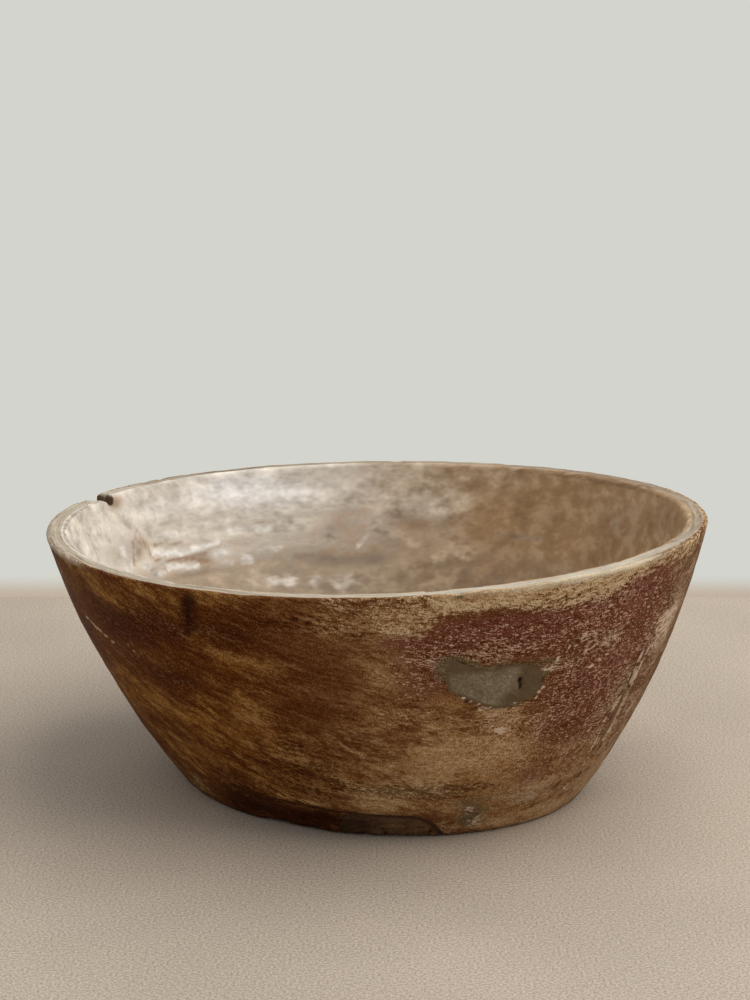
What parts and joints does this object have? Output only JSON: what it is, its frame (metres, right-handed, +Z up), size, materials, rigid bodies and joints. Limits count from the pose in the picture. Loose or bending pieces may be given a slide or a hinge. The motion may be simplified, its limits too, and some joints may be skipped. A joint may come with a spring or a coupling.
{
  "type": "root wood bowl",
  "caption": "Wide turned wooden bowl with sloping sides, a flat foot and a plain flat rim, mended with putty in its wall and foot, for holding loose things.",
  "frame": {"origin": "centre of the flat foot, on the surface that the bowl stands on", "axes": "+Z up out of the bowl; -Y is the front, with the large putty repair; +X is the side where the rim is highest"},
  "size_m": [0.4396, 0.4396, 0.1876],
  "materials": {
    "root_wood": "worn red-brown paint over bare golden wood outside, rubbed cream wash inside",
    "putty": "matte old grey-green chalk putty"
  },
  "bodies": {
    "root": {"bowl_body": "root_wood", "wall_putty": "putty", "crack_putty": "putty", "foot_putty": "putty"}
  },
  "joints": []
}
